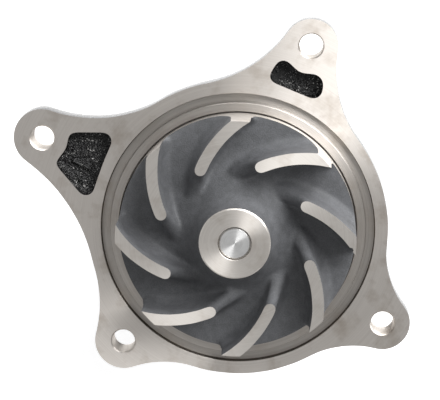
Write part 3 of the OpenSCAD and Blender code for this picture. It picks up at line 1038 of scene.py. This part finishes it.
IMPELLER = 50.0
PLATE_RISE = 4.9
PLATE_BACK = -1.5
HUB = 14.7
HUB_RISE = 27.4
VANE_TOP = 20.9
SEAT = 6.5
# a fine relief round the shaft's end, which shows as a dark line
RELIEF = 0.5
RELIEF_DEPTH = 2.4
# the recess in the back that holds the seal's boot
BOOT = 16.5
BOOT_TOP = 6.3


def vane_shape(settings):
    """The first vane, lofted from its foot to above its top, with the foot running in along its curve."""
    thickness = settings.vane_thickness / MM
    bend = settings.vane_bend / MM
    inner = polar(settings.vane_start / MM, settings.vane_angle)
    outer = polar(IMPELLER, settings.vane_angle - settings.vane_sweep)
    chord = (outer - inner).length
    way = (outer - inner).normalized()
    centre = (inner + outer) / 2 + math.sqrt(bend**2 - chord**2 / 4) * Vector((way.y, -way.x))
    start = heading(inner - centre)
    past = heading(outer - centre) - math.radians(5)
    foot = settings.vane_foot / MM
    low = PLATE_RISE - 3
    top = VANE_TOP + 2.5
    levels = 14
    outlines = []
    for level in range(levels + 1):
        height = low + (top - low) * level / levels
        down = max(0.0, min(1.0, (VANE_TOP - height) / (VANE_TOP - PLATE_RISE - 3.2)))
        reach = start + (foot * down**2.2 + 0.1) / bend
        fillet = 3.0 * max(0.0, 1 - (height - PLATE_RISE) / 6.5) ** 2
        half = thickness / 2 + 0.08 + 0.02 * (VANE_TOP - height) + fillet
        tip = centre + polar(bend, reach)
        outline = arc(centre, bend + half, past, reach, 22)
        outline += arc(tip, half, reach, reach + math.pi, 12)[1:-1]
        outline += arc(centre, bend - half, reach, past, 22)
        outlines.append((outline, height))
    return loft(outlines)


def ring_tree(material):
    """Geometry nodes that set copies of a mesh evenly round the shaft's line."""
    tree = bpy.data.node_groups.new("Ring of copies", "GeometryNodeTree")
    tree.interface.new_socket("Copy", in_out="INPUT", socket_type="NodeSocketGeometry")
    count = tree.interface.new_socket("Count", in_out="INPUT", socket_type="NodeSocketInt")
    turn = tree.interface.new_socket("First angle", in_out="INPUT", socket_type="NodeSocketFloat")
    tree.interface.new_socket("Ring", in_out="OUTPUT", socket_type="NodeSocketGeometry")
    entry = add(tree, "NodeGroupInput")
    places = add(tree, "GeometryNodePoints", {"Count": entry.outputs["Count"]})
    index = add(tree, "GeometryNodeInputIndex")
    step = add(tree, "ShaderNodeMath", {0: math.tau, 1: entry.outputs["Count"]}, operation="DIVIDE")
    angle = add(
        tree,
        "ShaderNodeMath",
        {0: index.outputs[0], 1: step.outputs[0], 2: entry.outputs["First angle"]},
        operation="MULTIPLY_ADD",
    )
    turned = add(tree, "ShaderNodeCombineXYZ", {2: angle.outputs[0]})
    copies = add(
        tree,
        "GeometryNodeInstanceOnPoints",
        {"Points": places.outputs[0], "Instance": entry.outputs["Copy"], "Rotation": turned.outputs[0]},
    )
    real = add(tree, "GeometryNodeRealizeInstances", {0: copies.outputs[0]})
    painted = add(tree, "GeometryNodeSetMaterial", {"Geometry": real.outputs[0], "Material": material})
    add(tree, "NodeGroupOutput", {"Ring": painted.outputs[0]})
    return tree, count.identifier, turn.identifier


def ring_of(obj, count, first_angle, material):
    """Makes an object's mesh into a ring of copies of itself."""
    tree, count_input, turn_input = ring_tree(material)
    modifier = obj.modifiers.new("Ring", "NODES")
    modifier.node_group = tree
    modifier[count_input] = count
    modifier[turn_input] = first_angle
    settle(obj)
    bpy.data.node_groups.remove(tree)


def impeller_core(flank):
    """The solid under the vanes: the plate, and the hub whose flank curves out to it at the flank radius."""
    top = HUB_RISE - 0.5
    side = HUB + 0.12
    steps = 24
    curve = []
    for step in range(steps + 1):
        t = math.pi / 2 * step / steps
        curve.append((flank - (flank - side) * math.cos(t), top - (top - PLATE_RISE) * math.sin(t)))
    above = HUB_RISE + 3
    below = PLATE_BACK - 2
    rim = IMPELLER + 3
    rows = [(0, above), (side, above)] + curve + [(rim, PLATE_RISE), (rim, below), (0, below)]
    return lathe(rows, steps=180)


def turned_envelope():
    """All that the lathe leaves of the impeller: its bore, faces, vane tops and rim."""
    relief = SEAT + RELIEF
    bore = [(SEAT, BOOT_TOP), (SEAT, HUB_RISE - RELIEF_DEPTH), (relief, HUB_RISE - RELIEF_DEPTH)]
    bore += [(relief, HUB_RISE - 0.12), (relief + 0.12, HUB_RISE)]
    hub = [(HUB - 0.45, HUB_RISE), (HUB + 1.3, HUB_RISE - 1.75), (HUB + 1.3, VANE_TOP)]
    rim = [(IMPELLER - 0.2, VANE_TOP), (IMPELLER, VANE_TOP - 0.2), (IMPELLER, PLATE_BACK + 0.3)]
    back = [(IMPELLER - 0.3, PLATE_BACK), (BOOT + 0.4, PLATE_BACK), (BOOT, PLATE_BACK + 0.4)]
    tool = lathe(bore + hub + rim + back + [(BOOT, BOOT_TOP)], steps=256)
    for face in tool.faces:
        middle = face.calc_center_median()
        face.material_index = int(Vector((middle.x, middle.y)).length > (IMPELLER - 0.15) * MM)
    finishes = ["Turned impeller iron", "Worn turned iron"]
    return object_from("envelope", [tool], [FINISHES[name] for name in finishes])


class PUMP_OT_impeller(bpy.types.Operator):
    """Cast the impeller's hub, plate and swept vanes, then turn its faces, rim and bore"""

    bl_idname = "pump.impeller"
    bl_label = "Impeller"

    def execute(self, context):
        settings = context.scene.pump_impeller
        coat = FINISHES["Dark coat on shell casting"]
        vanes = object_from("vanes", [vane_shape(settings)], [coat])
        ring_of(vanes, settings.vane_count, 0.0, coat)
        vane_mesh = bmesh.new()
        vane_mesh.from_mesh(vanes.data)
        discard(vanes)
        core = impeller_core(settings.flank_radius / MM)
        impeller = object_from("pump_impeller", [core, vane_mesh], [coat])
        cast(impeller, settings.grid, settings.softening)
        roughen(impeller, lambda point: noise.noise(point / (5 * MM)) * 0.07 * MM)
        machine(impeller, [turned_envelope()], "INTERSECT")
        # a chip out of the first vane's corner
        chip = lathe([(0, -1.3), (0.9, -0.9), (1.3, 0), (0.9, 0.9), (0, 1.3)], steps=7, at=(47.6, -3.7, 20.7))
        machine(impeller, [object_from("chip", [chip], [coat])])
        dress(impeller)
        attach(impeller, "rotor")
        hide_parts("impeller")
        return {"FINISHED"}


# ---------------------------------------------------------------- pulley hub


SHAFT = 7.95
NECK = 16.45
HUB_LENGTH = 18.0
HUB_FLANGE = 40.0
HUB_FLANGE_THICKNESS = 9.0
BROKEN_EDGE = 0.8
FIRST_BOLT = math.radians(45)


def hub_blank(back, register):
    """The turned hub, from its back face's height and the radius of the register bored in it."""
    top = back + HUB_LENGTH
    front = back + HUB_FLANGE_THICKNESS
    edge = HUB_FLANGE - BROKEN_EDGE
    neck = [(SHAFT, top - 0.5), (SHAFT + 0.5, top), (NECK - BROKEN_EDGE, top), (NECK, top - BROKEN_EDGE)]
    fillet = [(NECK, front + 1.5), (NECK + 0.45, front + 0.45), (NECK + 1.5, front)]
    flange = [(edge, front), (HUB_FLANGE, front - BROKEN_EDGE)]
    flange += [(HUB_FLANGE, back + BROKEN_EDGE), (edge, back)]
    bore = [(register + 0.6, back), (register, back + 0.6), (register, back + 4), (SHAFT, back + 4)]
    return lathe(neck + fillet + flange + bore, steps=192)


class PUMP_OT_pulley_hub(bpy.types.Operator):
    """Turn the pulley hub and drill its ring of bolt holes"""

    bl_idname = "pump.pulley_hub"
    bl_label = "Pulley Hub"

    def execute(self, context):
        steel = FINISHES["Turned hub steel"]
        bolts = MOUNTS["pulley_bolts"]["dims"]
        back = MOUNTS["pulley_bolts"]["pos_m"][2] / MM
        front = back + HUB_FLANGE_THICKNESS
        blank = hub_blank(back, MOUNTS["pulley_register"]["dims"]["r_mm"])
        hub = object_from("pump_pulley_hub", [blank], [steel])
        radius = bolts["hole_r_mm"]
        drill = [(0, back - 1), (radius + 1.8, back - 1), (radius, back + 0.8), (radius, front - 0.6)]
        drill += [(radius + 1.6, front + 1), (0, front + 1)]
        drills = []
        for k in range(bolts["count"]):
            place = polar(bolts["pcd_mm"] / 2, FIRST_BOLT + math.tau * k / bolts["count"])
            drills.append(object_from("drill", [lathe(drill, steps=48, at=(place.x, place.y, 0))], [steel]))
        machine(hub, drills)
        dress(hub)
        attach(hub, "rotor")
        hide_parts("pulley_hub")
        return {"FINISHED"}


# ---------------------------------------------------------------- studio


# the floor's radius in millimetres, and places and sizes of the lamps in metres
FLOOR = 8000
KEY_PLACE = (0.57, 0.63, 0.54)
KEY_SIZE = (0.8, 0.8)
STRIP_PLACE = (0.15, 0.85, 0.26)
STRIP_SIZE = (0.9, 0.25)
# the middle of the view, in metres
VIEW = Vector((-0.007515, 0.012222, -0.002141))


def lamp(name, power, size, place):
    """A soft lamp that faces the pump."""
    light = bpy.data.lights.new(name, "AREA")
    light.energy = power
    light.shape = "RECTANGLE"
    light.size, light.size_y = size
    obj = bpy.data.objects.new(name, light)
    bpy.context.scene.collection.objects.link(obj)
    obj.location = place
    obj.rotation_euler = (-Vector(place)).to_track_quat("-Z", "Y").to_euler()


class PUMP_OT_studio(bpy.types.Operator):
    """Lay the pale floor, hang the soft lamps and set the camera"""

    bl_idname = "pump.studio"
    bl_label = "Studio"

    def execute(self, context):
        studio = context.scene.pump_studio
        top = cad_box[0][2] / MM - 0.05
        card = lathe([(0, top), (FLOOR, top), (FLOOR, top - 20), (0, top - 20)], steps=64)
        floor = object_from("studio_floor", [card], [FINISHES["Matt studio card"]])
        world = bpy.data.worlds.new("Studio surround")
        world.use_nodes = True
        tree = world.node_tree
        tree.nodes.clear()
        glow = add(tree, "ShaderNodeBackground", {"Color": (1, 1, 1, 1), "Strength": studio.surround})
        add(tree, "ShaderNodeOutputWorld", {"Surface": glow.outputs[0]})
        context.scene.world = world
        lamp("Key lamp", studio.key, KEY_SIZE, KEY_PLACE)
        lamp("Strip lamp", studio.strip, STRIP_SIZE, STRIP_PLACE)
        lens = bpy.data.cameras.new("Camera")
        lens.lens = studio.lens
        lens.sensor_width = 36
        lens.clip_end = 20
        camera = bpy.data.objects.new("Camera", lens)
        context.scene.collection.objects.link(camera)
        facing = Matrix.Rotation(studio.turn, 4, "Y") @ Matrix.Rotation(-studio.tilt, 4, "X")
        away = Matrix.Translation((0, 0, studio.distance))
        camera.matrix_world = Matrix.Translation(VIEW) @ facing @ away
        context.scene.camera = camera
        context.scene.view_settings.view_transform = "Standard"
        return {"FINISHED"}


# ---------------------------------------------------------------- panel


class PUMP_PT_panel(bpy.types.Panel):
    """The pump's sizes, colours and pieces"""

    bl_idname = "PUMP_PT_panel"
    bl_label = "Engine Water Pump"
    bl_space_type = "VIEW_3D"
    bl_region_type = "UI"
    bl_category = "Water Pump"

    def draw(self, context):
        layout = self.layout
        for title, group in GROUPS.items():
            box = layout.box()
            box.label(text=group.__doc__.rstrip("."))
            settings = getattr(context.scene, title)
            for name in group.__annotations__:
                box.prop(settings, name)
        for operator in OPERATORS:
            layout.operator(operator.bl_idname)


GROUPS = {
    "pump_casting": CastingSettings,
    "pump_impeller": ImpellerSettings,
    "pump_finish": FinishSettings,
    "pump_studio": StudioSettings,
}
OPERATORS = [PUMP_OT_finishes, PUMP_OT_housing, PUMP_OT_impeller, PUMP_OT_pulley_hub, PUMP_OT_studio]
CLASSES = list(GROUPS.values()) + OPERATORS + [PUMP_PT_panel]


def register():
    for cls in CLASSES:
        bpy.utils.register_class(cls)
    for title, group in GROUPS.items():
        setattr(bpy.types.Scene, title, PointerProperty(type=group))


def unregister():
    for title in GROUPS:
        delattr(bpy.types.Scene, title)
    for cls in reversed(CLASSES):
        bpy.utils.unregister_class(cls)


def main():
    register()
    bpy.ops.pump.finishes()
    bpy.ops.pump.housing()
    bpy.ops.pump.impeller()
    bpy.ops.pump.pulley_hub()
    bpy.ops.pump.studio()
    bpy.context.view_layer.update()


if __name__ == "__main__":
    main()
